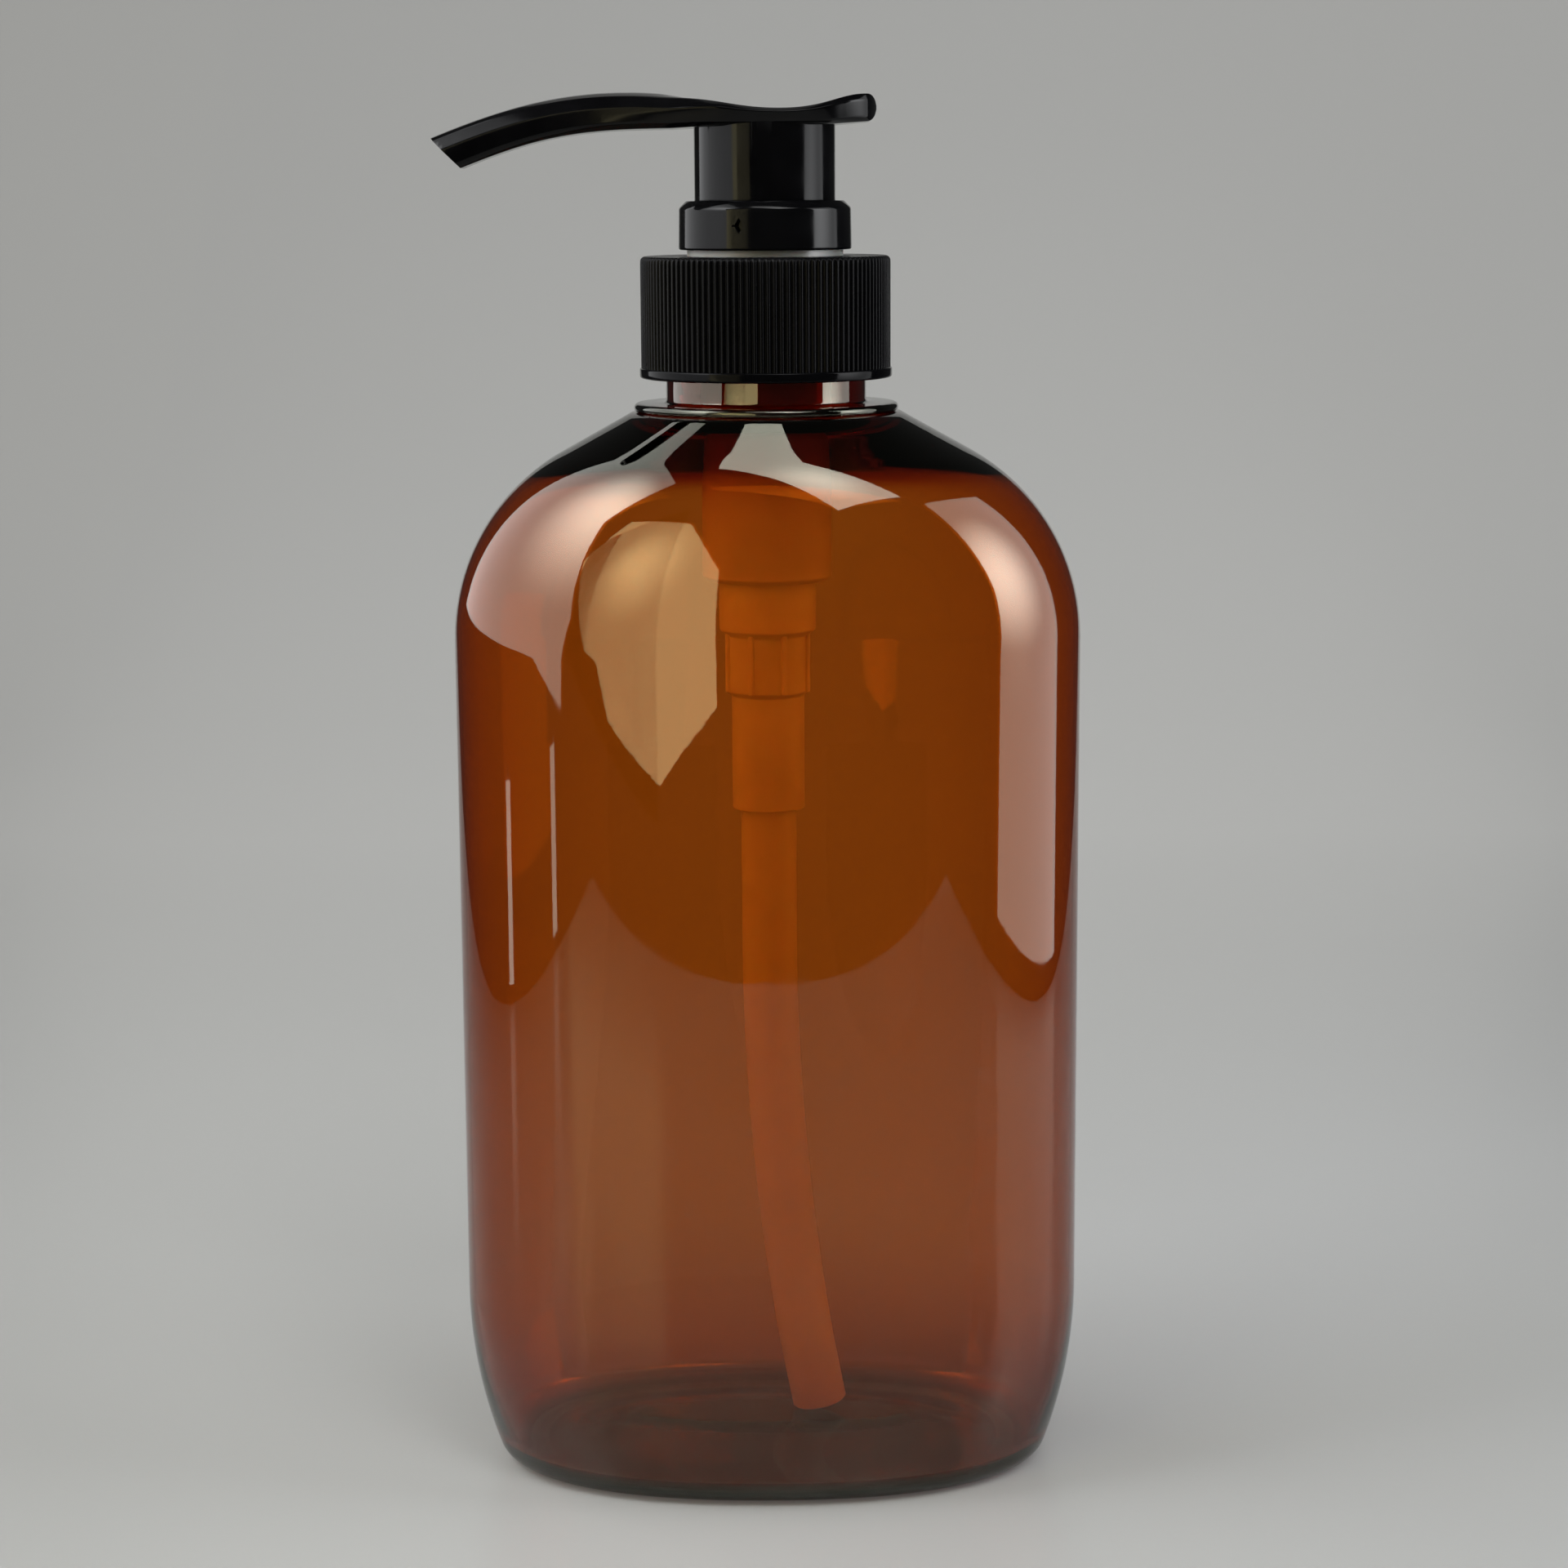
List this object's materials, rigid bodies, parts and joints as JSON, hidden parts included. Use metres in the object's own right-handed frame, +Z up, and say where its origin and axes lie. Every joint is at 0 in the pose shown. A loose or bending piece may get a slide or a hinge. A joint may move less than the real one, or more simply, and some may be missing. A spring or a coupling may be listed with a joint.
{
  "type": "soap pump dispenser",
  "caption": "Flat oval amber bottle with a black screw-on lotion pump: long curved spout, lock collar, ribbed closure, spring-return press head, dip tube and ball valves.",
  "frame": {"origin": "bottom centre of the bottle, on the plane it rests on", "axes": "+Z up along the pump's axis, the spout points towards -X, the bottle's broad faces look along +Y and -Y"},
  "size_m": [0.084, 0.054, 0.1824],
  "materials": {
    "amber_clear": "gloss",
    "black_satin": "satin",
    "black_gloss": "gloss",
    "natural_plastic": "satin",
    "soft_white": "satin",
    "spring_steel": "satin",
    "ball_steel": "polished"
  },
  "bodies": {
    "bottle": {"bottle": "amber_clear"},
    "pump": {"pump_housing": "natural_plastic", "stem_guide": "natural_plastic", "lock_collar": "black_gloss", "neck_gasket": "soft_white", "ball_cage": "natural_plastic", "dip_tube": "natural_plastic"},
    "closure": {"closure": "black_satin"},
    "spring": {"return_spring": "spring_steel"},
    "head": {"actuator_head": "black_gloss", "stem": "natural_plastic", "piston": "soft_white", "piston_seat": "natural_plastic"},
    "inlet_ball": {"inlet_ball": "ball_steel"},
    "outlet_ball": {"outlet_ball": "ball_steel"}
  },
  "joints": [
    {"name": "pump_rise", "type": "slide", "parent": "bottle", "child": "pump", "axis": [0, 0, 1], "range_m": [0, 0.00635]},
    {"name": "closure_turn", "type": "hinge", "parent": "pump", "child": "closure", "pos_m": [0, 0, 0.15], "axis": [0, 0, 1], "range_deg": [0, 540]},
    {"name": "head_turn", "type": "hinge", "parent": "pump", "child": "spring", "pos_m": [0, 0, 0.16], "axis": [0, 0, 1], "range_deg": [-90, 90]},
    {"name": "head_press", "type": "slide", "parent": "spring", "child": "head", "axis": [0, 0, 1], "range_m": [-0.0091, 0], "stiffness_N_per_m": 600, "springref_m": 0.008, "deforming": ["return_spring"]},
    {"name": "inlet_ball_lift", "type": "slide", "parent": "pump", "child": "inlet_ball", "axis": [0, 0, 1], "range_m": [0, 0.0017]},
    {"name": "outlet_ball_lift", "type": "slide", "parent": "head", "child": "outlet_ball", "axis": [0, 0, 1], "range_m": [0, 0.0013]}
  ],
  "couplings": [
    {"joint": "pump_rise", "follows": "closure_turn", "m_per_rad": 0.00067322}
  ]
}
